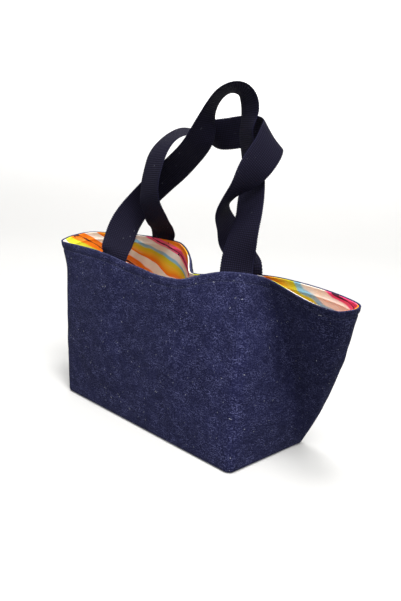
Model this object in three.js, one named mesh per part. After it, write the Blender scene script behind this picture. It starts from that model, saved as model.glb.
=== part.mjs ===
// Denim tote bag with a flat boxed base, a printed cotton lining and two webbing handles.
// Millimetres, +Z up. The origin is the middle of the base's underside and the front faces -Y.
import * as THREE from 'three';

// Base and walls
const BASE_LENGTH = 300;
const BASE_DEPTH = 129;
const BASE_CORNER_RADIUS = 8;
const BAG_HEIGHT = 195;
const MOUTH_OVERHANG = 78;
const SIDE_BELLY = 5;
const LEFT_END_BELLY = -4;
const RIGHT_END_BELLY = 10;

// Shares of the rim's length above the ends of the base. At the right the front of the mouth
// folds out as a wing that runs down to the back right corner of the base.
const LEFT_END_SHARE = 0.05;
const RIGHT_END_SHARE = 0.075;
const WING_SHARE = 0.265;
const WING_FOOT = 16;

// Cloth layers, from the outside in
const DENIM_THICKNESS = 1;
const INTERLINING_THICKNESS = 1.2;
const LINING_THICKNESS = 0.6;
const BASE_BOARD_THICKNESS = 2;
const LAYER_GAP = 0.3;
const INTERLINING_DROP = 34;

// Webbing handles
const STRAP_WIDTH = 38;
const STRAP_THICKNESS = 1.6;
const STRAP_SPACING = 168;
const STRAP_TAIL_DEPTH = 30;
const STRAP_STAND = 7;
const STRAP_LEAN_SHARE = 0.5;
const STRAP_FOOT_GAP = 0.5;
const STRAP_HEEL_WIDTH = 5;
const STRAP_HEEL_RISE = 3;

// Topstitched line round the mouth
const TOPSTITCH_DROP = 10;
const TOPSTITCH_THREAD = 0.6;

// Mesh fineness
const COLUMN_PITCH = 15;
const WALL_ROWS = 7;
const TAIL_COLUMNS = 6;
const COLUMN_ROOM = 4;
const STATIONS_PER_SPAN = 4;
const SLOPE_STEP = 0.001;
const SEAT_SEARCH_STEPS = 40;

// The mouth's outline, sagging between the handles. Each row is the place along the mouth as a
// share of its half length, the distance from the middle plane and the rise above BAG_HEIGHT.
const LEFT_TIP = [-0.905, -38, -2];
const RIGHT_TIP = [1.045, 10, 1.5];
const FRONT_RIM = [
  LEFT_TIP, [-0.86, -44, -1.5], [-0.685, -46.5, 0.5], [-0.49, -49, 2], [-0.37, -46, -0.5],
  [-0.29, -40, -5], [-0.165, -39, -7], [-0.055, -40, -8.5], [0.045, -38, -8.5], [0.125, -34, -7],
  [0.2, -24, 0], [0.3, -14, 7.5], [0.37, -3, 9], [0.44, 5, 9], [0.55, 4, 9], [0.63, -1, 8],
  [0.765, -11, 5.5], [0.877, -16, 3], [0.95, -15, 1.5], [1.01, -11, 0.5], RIGHT_TIP,
];
const BACK_RIM = [
  RIGHT_TIP, [1.025, 23, 3], [0.935, 26, 6], [0.765, 25, 9], [0.55, 25, 8.5], [0.44, 25, 6],
  [0.37, 16, 6], [0.305, 5, 5], [0.24, -5, 2], [0.17, -13, -1], [0.11, -13, -2], [0.055, -4, 1],
  [0, 8, 5], [-0.07, 21, 8], [-0.165, 34, 12], [-0.245, 41, 14], [-0.37, 38, 14.5],
  [-0.55, 33, 12.5], [-0.67, 20, 11], [-0.765, 10, 10], [-0.85, 2, 8], [-0.9, -9, 4.5],
  [-0.92, -24, 1], LEFT_TIP,
];

// The free length of each handle between its two seats on the rim. Each row is a point on the
// webbing's middle line, with its height above BAG_HEIGHT, and the way its outer edge lies.
// The back handle winds once round the right leg of the front handle.
const FRONT_STRAP_ROUTE = [
  { at: [-93, -30, 15], edge: [-0.83, -0.5, 0.24] },
  { at: [-103, -11, 35], edge: [-0.47, -0.73, 0.5] },
  { at: [-101, 10, 60], edge: [-0.2, -0.79, 0.58] },
  { at: [-75, 20, 89], edge: [-0.05, -0.74, 0.67] },
  { at: [-41, 20, 115], edge: [-0.35, -0.86, 0.37] },
  { at: [-6, 17, 147], edge: [-0.29, -0.94, 0.19] },
  { at: [2, 21, 179], edge: [0.35, -0.93, 0.08] },
  { at: [6, 25, 192], edge: [0.43, -0.9, 0.08] },
  { at: [11, 27, 199], edge: [0.4, -0.91, 0.06] },
  { at: [18, 30, 205], edge: [0.4, -0.91, 0.13] },
  { at: [27, 35, 208], edge: [0.49, -0.8, 0.36] },
  { at: [36, 41, 206], edge: [0.71, -0.51, 0.49] },
  { at: [42, 45, 196], edge: [0.9, -0.27, 0.34] },
  { at: [45, 45, 181], edge: [0.96, -0.24, 0.16] },
  { at: [44, 41, 160], edge: [0.87, -0.42, 0.27] },
  { at: [49, 43, 138], edge: [0.89, -0.36, 0.27] },
  { at: [58, 42, 116], edge: [0.96, -0.12, 0.25] },
  { at: [68, 31, 92], edge: [0.97, 0.07, 0.22] },
  { at: [78, 18, 70], edge: [0.97, 0.07, 0.22] },
  { at: [83, 6, 50], edge: [0.96, 0.21, 0.2] },
];
const BACK_STRAP_ROUTE = [
  { at: [-75, 24, 31], edge: [-0.98, 0.1, -0.19] },
  { at: [-59, 2, 48], edge: [-0.95, 0.17, -0.25] },
  { at: [-52, -16, 71], edge: [-0.95, 0.1, -0.29] },
  { at: [-53, -17, 90], edge: [-0.98, 0.12, -0.15] },
  { at: [-54, -11, 112], edge: [-0.99, 0.12, -0.11] },
  { at: [-56, -2, 129], edge: [-0.98, 0.07, -0.16] },
  { at: [-57, 12, 142], edge: [-0.98, 0.1, -0.15] },
  { at: [-56, 27, 150], edge: [-0.98, 0.19, 0.01] },
  { at: [-51, 42, 155], edge: [-0.91, 0.36, 0.18] },
  { at: [-44, 54, 154], edge: [-0.74, 0.68, 0.01] },
  { at: [-35, 60, 152], edge: [-0.28, 0.57, -0.77] },
  { at: [-21, 63, 152], edge: [0.03, 0.25, -0.97] },
  { at: [-7, 67, 154], edge: [-0.02, 0.1, -0.99] },
  { at: [13, 70, 158], edge: [-0.06, 0.13, -0.99] },
  { at: [34, 70, 160], edge: [0.04, 0.21, -0.98] },
  { at: [57, 65, 159], edge: [0.34, 0.32, -0.88] },
  { at: [74, 53, 158], edge: [0.51, 0.33, -0.79] },
  { at: [83, 38, 146], edge: [0.42, 0.68, -0.61] },
  { at: [84, 22, 130], edge: [0.44, 0.81, -0.39] },
  { at: [80, 11, 116], edge: [0.26, 0.94, -0.21] },
  { at: [75, 3, 103], edge: [-0.16, 0.96, -0.24] },
  { at: [65, -2, 89], edge: [-0.42, 0.9, -0.13] },
  { at: [54, 0, 73], edge: [-0.45, 0.89, -0.04] },
  { at: [51, 11, 55], edge: [-0.12, 0.99, -0.07] },
  { at: [57, 22, 33], edge: [0.51, 0.86, -0.01] },
];

// Layer depths measured inwards from the denim's outer face
const INNER_LAYER = DENIM_THICKNESS + LAYER_GAP;
const LINING_LAYER = INNER_LAYER + Math.max(STRAP_THICKNESS, INTERLINING_THICKNESS) + LAYER_GAP;
const STRAP_LAYER_MIDDLE = INNER_LAYER + STRAP_THICKNESS / 2;
const BOARD_INSET = INNER_LAYER + INTERLINING_THICKNESS + LAYER_GAP;
const FLOOR_INSET = LINING_LAYER + LINING_THICKNESS + LAYER_GAP;
const MOUTH_HALF_LENGTH = BASE_LENGTH / 2 + MOUTH_OVERHANG;

// Heights of the layers that lie flat on the base
const BOARD_FLOOR = DENIM_THICKNESS + LAYER_GAP;
const LINING_FLOOR = BOARD_FLOOR + BASE_BOARD_THICKNESS + LAYER_GAP;

// Every level at which some layer of a wall starts or ends, up from the base or down from the rim
const FLOOR_LEVELS = [0, BOARD_FLOOR, LINING_FLOOR];
const RIM_DROPS = [...new Set([
  INTERLINING_DROP, STRAP_TAIL_DEPTH, TOPSTITCH_DROP + TOPSTITCH_THREAD, TOPSTITCH_DROP, 0,
])].sort((a, b) => b - a);

const DENIM_CLOTH = { color: 0x1f2745, roughness: 0.92 };
const WEBBING = { color: 0x14172b, roughness: 0.8 };
const LINING_CLOTH = { color: 0xe9b26a, roughness: 0.85 };
const INTERLINING_CLOTH = { color: 0xdcdad2, roughness: 0.95 };
const GREY_BOARD = { color: 0x8c8a84, roughness: 0.9 };
const STITCH_THREAD = { color: 0x232a4a, roughness: 0.7 };

function rimCurve(rows) {
  const points = rows.map(
    ([share, depth, rise]) => new THREE.Vector3(share * MOUTH_HALF_LENGTH, depth, BAG_HEIGHT + rise),
  );
  return new THREE.CatmullRomCurve3(points);
}

// The base outline, from the middle of its left end along the front and round to its start
function baseOutline() {
  const x = BASE_LENGTH / 2;
  const y = BASE_DEPTH / 2;
  const radius = BASE_CORNER_RADIUS;
  const path = new THREE.Path();
  path.moveTo(-x, 0);
  path.lineTo(-x, radius - y);
  path.absarc(radius - x, radius - y, radius, Math.PI, 1.5 * Math.PI, false);
  path.lineTo(x - radius, -y);
  path.absarc(x - radius, radius - y, radius, 1.5 * Math.PI, 2 * Math.PI, false);
  path.lineTo(x, y - radius);
  path.absarc(x - radius, y - radius, radius, 0, 0.5 * Math.PI, false);
  path.lineTo(radius - x, y);
  path.absarc(radius - x, y - radius, radius, 0.5 * Math.PI, Math.PI, false);
  path.lineTo(-x, 0);
  return path;
}

const BASE_PATH = baseOutline();
const BASE_ROUND = BASE_PATH.getLength();
const CORNER_CUT = BASE_CORNER_RADIUS * (2 - Math.PI / 2);
const END_RUN = (BASE_DEPTH - CORNER_CUT) / BASE_ROUND;
const SIDE_RUN = (BASE_LENGTH - CORNER_CUT) / BASE_ROUND;
const FRONT_LEFT = END_RUN / 2;
const FRONT_RIGHT = FRONT_LEFT + SIDE_RUN;
const BACK_RIGHT = FRONT_RIGHT + END_RUN;
const BACK_LEFT = BACK_RIGHT + SIDE_RUN;

// Each panel's rim, and its leading columns: a share of the rim's length and the share of the base
// outline below it
const FRONT = {
  rim: rimCurve(FRONT_RIM),
  turn: 1,
  leads: [
    [0, 0],
    [LEFT_END_SHARE, FRONT_LEFT],
    [1 - WING_SHARE - RIGHT_END_SHARE, FRONT_RIGHT],
    [1 - WING_SHARE, BACK_RIGHT - WING_FOOT / BASE_ROUND],
    [1, BACK_RIGHT],
  ],
};
const BACK = {
  rim: rimCurve(BACK_RIM),
  turn: -1,
  leads: [[0, BACK_RIGHT], [1 - LEFT_END_SHARE, BACK_LEFT], [1, 1]],
};

// Where a column that meets the rim at a share of its length stands on the base outline
function baseShare(side, share) {
  const next = Math.max(1, side.leads.findIndex(([rimShare]) => rimShare >= share));
  const [fromRim, fromBase] = side.leads[next - 1];
  const [toRim, toBase] = side.leads[next];
  return THREE.MathUtils.mapLinear(share, fromRim, toRim, fromBase, toBase);
}

function bellyDepth(normal) {
  const endBelly = normal.x > 0 ? RIGHT_END_BELLY : LEFT_END_BELLY;
  return Math.abs(normal.y) * SIDE_BELLY + Math.abs(normal.x) * endBelly;
}

// A point on the denim's outer face at a share of the rim's length and of the wall's height.
// The belly is fullest half way up and nothing at the base and the rim.
function outerFacePoint(side, share, height) {
  const place = baseShare(side, share);
  const base = BASE_PATH.getPointAt(place);
  const along = BASE_PATH.getTangentAt(place);
  const normal = new THREE.Vector2(along.y, -along.x);
  const point = new THREE.Vector3(base.x, base.y, 0).lerp(side.rim.getPointAt(share), height);
  const swell = bellyDepth(normal) * (1 - (2 * height - 1) ** 2);
  return point.add(new THREE.Vector3(normal.x * swell, normal.y * swell, 0));
}

// A point on the outer face, carried on to the other panel past a side seam
function pointRoundSeam(side, share, height) {
  const other = side === FRONT ? BACK : FRONT;
  if (share < 0) {
    return outerFacePoint(other, share + 1, height);
  }
  if (share > 1) {
    return outerFacePoint(other, share - 1, height);
  }
  return outerFacePoint(side, share, height);
}

// A point at a depth inside the wall, measured level from the outer face. Both panels take the
// same inward direction at a side seam.
function wallPoint(side, share, height, depth) {
  const atSeam = share < SLOPE_STEP || share > 1 - SLOPE_STEP;
  const place = atSeam ? Math.round(share) : share;
  const before = pointRoundSeam(side, place - SLOPE_STEP, height);
  const after = pointRoundSeam(side, place + SLOPE_STEP, height);
  const inward = new THREE.Vector3(before.y - after.y, after.x - before.x, 0).normalize();
  return outerFacePoint(side, share, height).addScaledVector(inward, depth);
}

function meshFromFaces(name, vertices, triangles, cloth) {
  const geometry = new THREE.BufferGeometry();
  const numbers = vertices.flatMap((vertex) => vertex.toArray());
  geometry.setAttribute('position', new THREE.Float32BufferAttribute(numbers, 3));
  geometry.setIndex(triangles);
  geometry.computeVertexNormals();
  const mesh = new THREE.Mesh(geometry, new THREE.MeshStandardMaterial(cloth));
  mesh.name = name;
  return mesh;
}

function addQuad(triangles, a, b, c, d) {
  triangles.push(a, b, c, a, c, d);
}

// A closed sheet between two faces given as grids of points with the same rows and columns
function closedSheet(name, outer, inner, cloth) {
  const rows = outer.length;
  const columns = outer[0].length;
  const under = rows * columns;
  const triangles = [];
  for (let row = 0; row < rows - 1; row += 1) {
    for (let column = 0; column < columns - 1; column += 1) {
      const corner = row * columns + column;
      const above = corner + columns;
      addQuad(triangles, corner, corner + 1, above + 1, above);
      addQuad(triangles, under + corner, under + above, under + above + 1, under + corner + 1);
    }
    const left = row * columns;
    const right = left + columns - 1;
    addQuad(triangles, left, left + columns, under + left + columns, under + left);
    addQuad(triangles, right, under + right, under + right + columns, right + columns);
  }
  const top = (rows - 1) * columns;
  for (let column = 0; column < columns - 1; column += 1) {
    const next = column + 1;
    addQuad(triangles, column, under + column, under + next, next);
    addQuad(triangles, top + column, top + next, under + top + next, under + top + column);
  }
  return meshFromFaces(name, [...outer.flat(), ...inner.flat()], triangles, cloth);
}

function wallGrid(side, shares, heightsAt, depth) {
  const rows = heightsAt(shares[0]).length;
  return Array.from({ length: rows }, (_, row) => (
    shares.map((share) => wallPoint(side, share, heightsAt(share)[row], depth))
  ));
}

function wallPiece(name, side, shares, heightsAt, depth, thickness, cloth) {
  const outer = wallGrid(side, shares, heightsAt, depth);
  const inner = wallGrid(side, shares, heightsAt, depth + thickness);
  return closedSheet(name, outer, inner, cloth);
}

function spread(from, to, steps) {
  return Array.from({ length: steps + 1 }, (_, i) => THREE.MathUtils.lerp(from, to, i / steps));
}

// The rim share where a handle is sewn in at a given place along the bag
function seatShare(side, x) {
  let low = 0;
  let high = 1;
  for (let i = 0; i < SEAT_SEARCH_STEPS; i += 1) {
    const middle = (low + high) / 2;
    const reached = side.rim.getPointAt(middle).x * side.turn;
    if (reached < x * side.turn) {
      low = middle;
    } else {
      high = middle;
    }
  }
  return low;
}

// Columns across the width of one handle's tail
function tailShares(side, x) {
  const seat = seatShare(side, x);
  const halfWidth = STRAP_WIDTH / 2 / side.rim.getLength();
  return spread(seat - halfWidth, seat + halfWidth, TAIL_COLUMNS);
}

// Columns of one panel from seam to seam, with half a gap left at each side seam. All layers of
// the panel stand on the same columns as the handle tails sewn between them.
function panelShares(side) {
  const rimLength = side.rim.getLength();
  const seam = LAYER_GAP / 2 / rimLength;
  const room = COLUMN_ROOM / rimLength;
  const tails = [-STRAP_SPACING / 2, STRAP_SPACING / 2].map((x) => tailShares(side, x));
  const clearOfTails = (share) => (
    tails.every((tail) => share < tail[0] - room || share > tail[TAIL_COLUMNS] + room)
  );
  const plain = side.leads.slice(1).flatMap(([toRim, toBase], i) => {
    const [fromRim, fromBase] = side.leads[i];
    const run = Math.max((toRim - fromRim) * rimLength, (toBase - fromBase) * BASE_ROUND);
    return spread(fromRim, toRim, Math.ceil(run / COLUMN_PITCH)).slice(1);
  });
  const inside = plain.filter((share) => share < 1 && clearOfTails(share));
  return [seam, ...inside, ...tails.flat(), 1 - seam].sort((a, b) => a - b);
}

// Rows of a wall piece from a floor level up to a drop below the rim
function rowsBetween(side, floor, drop) {
  return (share) => {
    const rimHeight = side.rim.getPointAt(share).z;
    const upper = RIM_DROPS.map((rimDrop) => rimHeight - rimDrop);
    const middle = spread(LINING_FLOOR, upper[0], WALL_ROWS).slice(1, -1);
    return [...FLOOR_LEVELS, ...middle, ...upper]
      .filter((level) => level >= floor && level <= rimHeight - drop)
      .map((level) => level / rimHeight);
  };
}

// Rows of a wall piece between two drops below the rim
function rowsUnderRim(side, lowDrop, highDrop) {
  return (share) => {
    const rimHeight = side.rim.getPointAt(share).z;
    return RIM_DROPS.filter((drop) => drop <= lowDrop && drop >= highDrop)
      .map((drop) => 1 - drop / rimHeight);
  };
}

function panelLayers(label, side) {
  const shares = panelShares(side);
  const denimRows = rowsBetween(side, 0, 0);
  const interliningRows = rowsBetween(side, BOARD_FLOOR, INTERLINING_DROP);
  const liningRows = rowsBetween(side, LINING_FLOOR, 0);
  const stitchRows = rowsUnderRim(side, TOPSTITCH_DROP + TOPSTITCH_THREAD, TOPSTITCH_DROP);
  const stitchDepth = -LAYER_GAP - TOPSTITCH_THREAD;
  return [
    wallPiece(`${label}_panel`, side, shares, denimRows, 0, DENIM_THICKNESS, DENIM_CLOTH),
    wallPiece(`${label}_interlining`, side, shares, interliningRows, INNER_LAYER,
      INTERLINING_THICKNESS, INTERLINING_CLOTH),
    wallPiece(`${label}_lining`, side, shares, liningRows, LINING_LAYER, LINING_THICKNESS, LINING_CLOTH),
    wallPiece(`${label}_rim_topstitch`, side, shares, stitchRows, stitchDepth, TOPSTITCH_THREAD,
      STITCH_THREAD),
  ];
}

// Points round the walls at one level, at a depth inside the denim's outer face
function levelOutline(level, depth) {
  return [FRONT, BACK].flatMap((side) => (
    panelShares(side).slice(0, -1).map((share) => (
      wallPoint(side, share, level / side.rim.getPointAt(share).z, depth)
    ))
  ));
}

// A layer lying flat on the base, its edge following the lean of the walls
function basePiece(name, depth, floor, thickness, cloth) {
  const low = levelOutline(floor, depth);
  const high = levelOutline(floor + thickness, depth);
  const count = low.length;
  const outline = low.map((point) => new THREE.Vector2(point.x, point.y));
  const triangles = [];
  THREE.ShapeUtils.triangulateShape(outline, []).forEach(([a, b, c]) => {
    triangles.push(a, c, b, count + a, count + b, count + c);
  });
  for (let i = 0; i < count; i += 1) {
    const next = (i + 1) % count;
    addQuad(triangles, i, next, count + next, count + i);
  }
  return meshFromFaces(name, [...low, ...high], triangles, cloth);
}

function strapTail(name, side, x) {
  const rows = rowsUnderRim(side, STRAP_TAIL_DEPTH, 0);
  return wallPiece(name, side, tailShares(side, x), rows, INNER_LAYER, STRAP_THICKNESS, WEBBING);
}

// The seat of a handle on the rim: its foot, the top of its stand, which keeps a share of the
// wall's lean and is square to the rim, and the way along the rim
function strapSeat(side, x, outward) {
  const share = seatShare(side, x);
  const rim = wallPoint(side, share, 1, STRAP_LAYER_MIDDLE);
  const below = wallPoint(side, share, 1 - STRAP_STAND / BAG_HEIGHT, STRAP_LAYER_MIDDLE);
  const edge = side.rim.getTangentAt(share).multiplyScalar(outward * side.turn);
  const keep = new THREE.Vector3(STRAP_LEAN_SHARE, STRAP_LEAN_SHARE, 1);
  const lean = rim.clone().sub(below).multiply(keep);
  const up = lean.addScaledVector(edge, -lean.dot(edge)).normalize();
  const foot = rim.clone().addScaledVector(up, STRAP_FOOT_GAP);
  return { foot, stand: foot.clone().addScaledVector(up, STRAP_STAND), edge };
}

function routePoints(side, route) {
  const left = strapSeat(side, -STRAP_SPACING / 2, -1);
  const right = strapSeat(side, STRAP_SPACING / 2, 1);
  const free = route.map(({ at: [x, y, rise] }) => new THREE.Vector3(x, y, BAG_HEIGHT + rise));
  const edges = route.map(({ edge }) => new THREE.Vector3(...edge).normalize());
  return {
    points: [left.foot, left.stand, ...free, right.stand, right.foot],
    edges: [left.edge, left.edge, ...edges, right.edge, right.edge],
  };
}

// Sections of a flat strap along its route, as four corners each, nipped at the two feet
function strapSections(side, route) {
  const { points, edges } = routePoints(side, route);
  const line = new THREE.CatmullRomCurve3(points);
  const edgeLine = new THREE.CatmullRomCurve3(edges);
  const spans = points.length - 1;
  const heel = STRAP_HEEL_RISE / STRAP_STAND;
  const marks = [0, heel, ...spread(1, spans - 1, STATIONS_PER_SPAN * (spans - 2)), spans - heel, spans];
  return marks.map((mark, i) => {
    const share = mark / spans;
    const atFoot = i === 0 || i === marks.length - 1;
    const half = (atFoot ? STRAP_HEEL_WIDTH : STRAP_WIDTH) / 2;
    const middle = line.getPoint(share);
    const along = line.getTangent(share);
    const edge = edgeLine.getPoint(share);
    edge.addScaledVector(along, -edge.dot(along)).normalize();
    const face = new THREE.Vector3().crossVectors(along, edge);
    const corner = (across, through) => middle.clone()
      .addScaledVector(edge, across * half)
      .addScaledVector(face, through * STRAP_THICKNESS / 2);
    return [corner(1, 1), corner(-1, 1), corner(-1, -1), corner(1, -1)];
  });
}

function strapLoop(name, side, route) {
  const sections = strapSections(side, route);
  const corners = sections[0].length;
  const triangles = [];
  for (let i = 0; i < sections.length - 1; i += 1) {
    for (let k = 0; k < corners; k += 1) {
      const here = i * corners + k;
      const beside = i * corners + (k + 1) % corners;
      addQuad(triangles, here, beside, beside + corners, here + corners);
    }
  }
  const last = (sections.length - 1) * corners;
  addQuad(triangles, 3, 2, 1, 0);
  addQuad(triangles, last, last + 1, last + 2, last + 3);
  return meshFromFaces(name, sections.flat(), triangles, WEBBING);
}

const bag = new THREE.Group();
bag.add(
  ...panelLayers('front', FRONT),
  ...panelLayers('back', BACK),
  basePiece('base_panel', INNER_LAYER, 0, DENIM_THICKNESS, DENIM_CLOTH),
  basePiece('base_board', BOARD_INSET, BOARD_FLOOR, BASE_BOARD_THICKNESS, GREY_BOARD),
  basePiece('base_lining', FLOOR_INSET, LINING_FLOOR, LINING_THICKNESS, LINING_CLOTH),
  strapTail('front_strap_left_tail', FRONT, -STRAP_SPACING / 2),
  strapTail('front_strap_right_tail', FRONT, STRAP_SPACING / 2),
  strapTail('back_strap_left_tail', BACK, -STRAP_SPACING / 2),
  strapTail('back_strap_right_tail', BACK, STRAP_SPACING / 2),
  strapLoop('front_strap', FRONT, FRONT_STRAP_ROUTE),
  strapLoop('back_strap', BACK, BACK_STRAP_ROUTE),
);

export default bag;
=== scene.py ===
"""Denim tote bag: a soft shell with a boxed base, a printed cotton lining and two webbing handles.

Metres, +Z up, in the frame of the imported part. The front faces -Y.
"""
import math

import bmesh
import bpy
import numpy as np
from mathutils import Matrix, Vector, noise


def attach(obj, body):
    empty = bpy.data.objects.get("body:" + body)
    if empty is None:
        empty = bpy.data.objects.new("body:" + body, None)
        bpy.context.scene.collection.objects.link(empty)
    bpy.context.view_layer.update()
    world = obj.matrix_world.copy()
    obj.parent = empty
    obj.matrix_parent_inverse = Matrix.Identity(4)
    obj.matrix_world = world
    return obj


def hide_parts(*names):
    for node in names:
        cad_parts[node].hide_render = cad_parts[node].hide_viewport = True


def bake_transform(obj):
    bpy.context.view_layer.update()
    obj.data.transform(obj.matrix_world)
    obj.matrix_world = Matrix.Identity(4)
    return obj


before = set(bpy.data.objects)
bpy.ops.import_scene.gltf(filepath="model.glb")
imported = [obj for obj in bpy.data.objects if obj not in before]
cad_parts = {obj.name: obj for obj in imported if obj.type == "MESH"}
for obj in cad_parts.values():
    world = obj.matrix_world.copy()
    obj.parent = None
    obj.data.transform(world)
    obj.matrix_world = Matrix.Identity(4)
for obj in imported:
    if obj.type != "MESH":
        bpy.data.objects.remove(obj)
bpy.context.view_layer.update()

bl_info = {
    "name": "Denim Tote Bag",
    "version": (1, 0, 0),
    "blender": (4, 5, 0),
    "location": "3D View > Sidebar > Tote",
    "description": "Builds a soft denim tote bag with a printed lining and webbing handles",
    "category": "Add Mesh",
}

# The mouth's outline, sagging between the handles. Each row is the place along the mouth as a
# share of its half length, the distance from the middle plane and the rise above the bag height.
LEFT_TIP = (-0.905, -0.038, -0.002)
RIGHT_TIP = (1.045, 0.01, 0.0015)
FRONT_RIM = [
    LEFT_TIP, (-0.86, -0.044, -0.0015), (-0.685, -0.0465, 0.0005), (-0.49, -0.049, 0.002),
    (-0.37, -0.046, -0.0005), (-0.29, -0.04, -0.005), (-0.165, -0.039, -0.007),
    (-0.055, -0.04, -0.0085), (0.045, -0.038, -0.0085), (0.125, -0.034, -0.007),
    (0.2, -0.024, 0), (0.3, -0.014, 0.0075), (0.37, -0.003, 0.009), (0.44, 0.005, 0.009),
    (0.55, 0.004, 0.009), (0.63, -0.001, 0.008), (0.765, -0.011, 0.0055), (0.877, -0.016, 0.003),
    (0.95, -0.015, 0.0015), (1.01, -0.011, 0.0005), RIGHT_TIP,
]
BACK_RIM = [
    RIGHT_TIP, (1.025, 0.023, 0.003), (0.935, 0.026, 0.006), (0.765, 0.025, 0.009),
    (0.55, 0.025, 0.0085), (0.44, 0.025, 0.006), (0.37, 0.016, 0.006), (0.305, 0.005, 0.005),
    (0.24, -0.005, 0.002), (0.17, -0.013, -0.001), (0.11, -0.013, -0.002),
    (0.055, -0.004, 0.001), (0, 0.008, 0.005), (-0.07, 0.021, 0.008), (-0.165, 0.034, 0.012),
    (-0.245, 0.041, 0.014), (-0.37, 0.038, 0.0145), (-0.55, 0.033, 0.0125), (-0.67, 0.02, 0.011),
    (-0.765, 0.01, 0.01), (-0.85, 0.002, 0.008), (-0.9, -0.009, 0.0045), (-0.92, -0.024, 0.001),
    LEFT_TIP,
]

# The free length of each handle between its two seats on the rim. Each row is a point on the
# webbing's middle line, with its height above the bag height, and the way its outer edge lies.
FRONT_STRAP_ROUTE = [
    ((-0.093, -0.03, 0.015), (-0.83, -0.5, 0.24)),
    ((-0.103, -0.011, 0.035), (-0.47, -0.73, 0.5)),
    ((-0.101, 0.01, 0.06), (-0.2, -0.79, 0.58)),
    ((-0.075, 0.02, 0.089), (-0.05, -0.74, 0.67)),
    ((-0.041, 0.02, 0.115), (-0.35, -0.86, 0.37)),
    ((-0.006, 0.017, 0.147), (-0.29, -0.94, 0.19)),
    ((0.002, 0.021, 0.179), (0.35, -0.93, 0.08)),
    ((0.006, 0.025, 0.192), (0.43, -0.9, 0.08)),
    ((0.011, 0.027, 0.199), (0.4, -0.91, 0.06)),
    ((0.018, 0.03, 0.205), (0.4, -0.91, 0.13)),
    ((0.027, 0.035, 0.208), (0.49, -0.8, 0.36)),
    ((0.036, 0.041, 0.206), (0.71, -0.51, 0.49)),
    ((0.042, 0.045, 0.196), (0.9, -0.27, 0.34)),
    ((0.045, 0.045, 0.181), (0.96, -0.24, 0.16)),
    ((0.044, 0.041, 0.16), (0.87, -0.42, 0.27)),
    ((0.049, 0.043, 0.138), (0.89, -0.36, 0.27)),
    ((0.058, 0.042, 0.116), (0.96, -0.12, 0.25)),
    ((0.068, 0.031, 0.092), (0.97, 0.07, 0.22)),
    ((0.078, 0.018, 0.07), (0.97, 0.07, 0.22)),
    ((0.083, 0.006, 0.05), (0.96, 0.21, 0.2)),
]
BACK_STRAP_ROUTE = [
    ((-0.075, 0.024, 0.031), (-0.98, 0.1, -0.19)),
    ((-0.059, 0.002, 0.048), (-0.95, 0.17, -0.25)),
    ((-0.052, -0.016, 0.071), (-0.95, 0.1, -0.29)),
    ((-0.053, -0.017, 0.09), (-0.98, 0.12, -0.15)),
    ((-0.054, -0.011, 0.112), (-0.99, 0.12, -0.11)),
    ((-0.056, -0.002, 0.129), (-0.98, 0.07, -0.16)),
    ((-0.057, 0.012, 0.142), (-0.98, 0.1, -0.15)),
    ((-0.056, 0.027, 0.15), (-0.98, 0.19, 0.01)),
    ((-0.051, 0.042, 0.155), (-0.91, 0.36, 0.18)),
    ((-0.044, 0.054, 0.154), (-0.74, 0.68, 0.01)),
    ((-0.035, 0.06, 0.152), (-0.28, 0.57, -0.77)),
    ((-0.021, 0.063, 0.152), (0.03, 0.25, -0.97)),
    ((-0.007, 0.067, 0.154), (-0.02, 0.1, -0.99)),
    ((0.013, 0.07, 0.158), (-0.06, 0.13, -0.99)),
    ((0.034, 0.07, 0.16), (0.04, 0.21, -0.98)),
    ((0.057, 0.065, 0.159), (0.34, 0.32, -0.88)),
    ((0.074, 0.053, 0.158), (0.51, 0.33, -0.79)),
    ((0.083, 0.038, 0.146), (0.42, 0.68, -0.61)),
    ((0.084, 0.022, 0.13), (0.44, 0.81, -0.39)),
    ((0.08, 0.011, 0.116), (0.26, 0.94, -0.21)),
    ((0.075, 0.003, 0.103), (-0.16, 0.96, -0.24)),
    ((0.065, -0.002, 0.089), (-0.42, 0.9, -0.13)),
    ((0.054, 0, 0.073), (-0.45, 0.89, -0.04)),
    ((0.051, 0.011, 0.055), (-0.12, 0.99, -0.07)),
    ((0.057, 0.022, 0.033), (0.51, 0.86, -0.01)),
]

# Places round the wall: the front runs from 0 at the left seam to 1 at the right seam, and the
# back goes on from 1 to 2
FRONT, BACK = 0, 1
SIDES = (("front", FRONT), ("back", BACK))
FULL_TURN = 2 * math.pi
LAYER_GAP = 0.0003
BASE_TUCK = 0.004
BASE_INSET = 0.3 * BASE_TUCK
SIDE_BELLY = 0.005
LEFT_END_BELLY = -0.004
RIGHT_END_BELLY = 0.010

# Shares of the rim's length above the ends of the base. At the right the front of the mouth folds
# out as a wing that runs down to the back right corner of the base.
LEFT_END_SHARE = 0.05
RIGHT_END_SHARE = 0.075
WING_SHARE = 0.265
WING_FOOT = 0.016
FOLD_SOFTNESS = 0.014
CORNER_SOFTNESS = 0.010
INTERLINING_DROP = 0.034
LINING_RIM_DROP = 0.0008

# The turned hem at the rim, with the ridge of its fold
HEM_DEPTH = 0.013
HEM_STEP = 0.002
HEM_THICKENING = 0.0009
HEM_RIDGE, HEM_RIDGE_DROP, HEM_RIDGE_WIDTH = 0.0006, 0.0052, 0.003

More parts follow.
